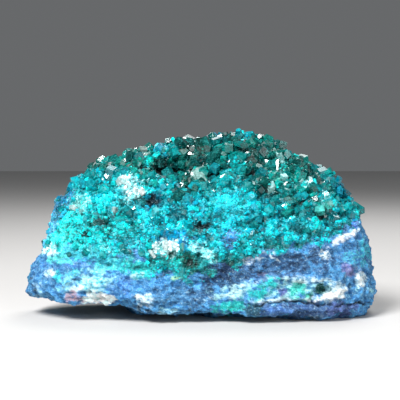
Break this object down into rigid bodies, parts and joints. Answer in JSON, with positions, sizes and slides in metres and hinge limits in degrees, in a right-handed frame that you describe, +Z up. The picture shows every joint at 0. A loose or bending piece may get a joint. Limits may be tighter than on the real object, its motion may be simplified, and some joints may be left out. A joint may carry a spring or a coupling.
{
  "type": "dioptase crystal specimen",
  "caption": "Loaf-shaped piece of blue and turquoise copper-mineral rock with a crust of emerald-green dioptase crystals over its front and crown, resting on its broken underside.",
  "frame": {"origin": "under the middle of the specimen's bounding box, on the surface it rests on", "axes": "+Z up, +X to the right along the specimen's width seen from the front, +Y from the crystal front to the back"},
  "size_m": [0.1892, 0.0842, 0.1014],
  "materials": {
    "crystal_rock": "glossy crystals on rough matrix"
  },
  "bodies": {
    "root": {"dioptase_specimen": "crystal_rock"}
  },
  "joints": []
}
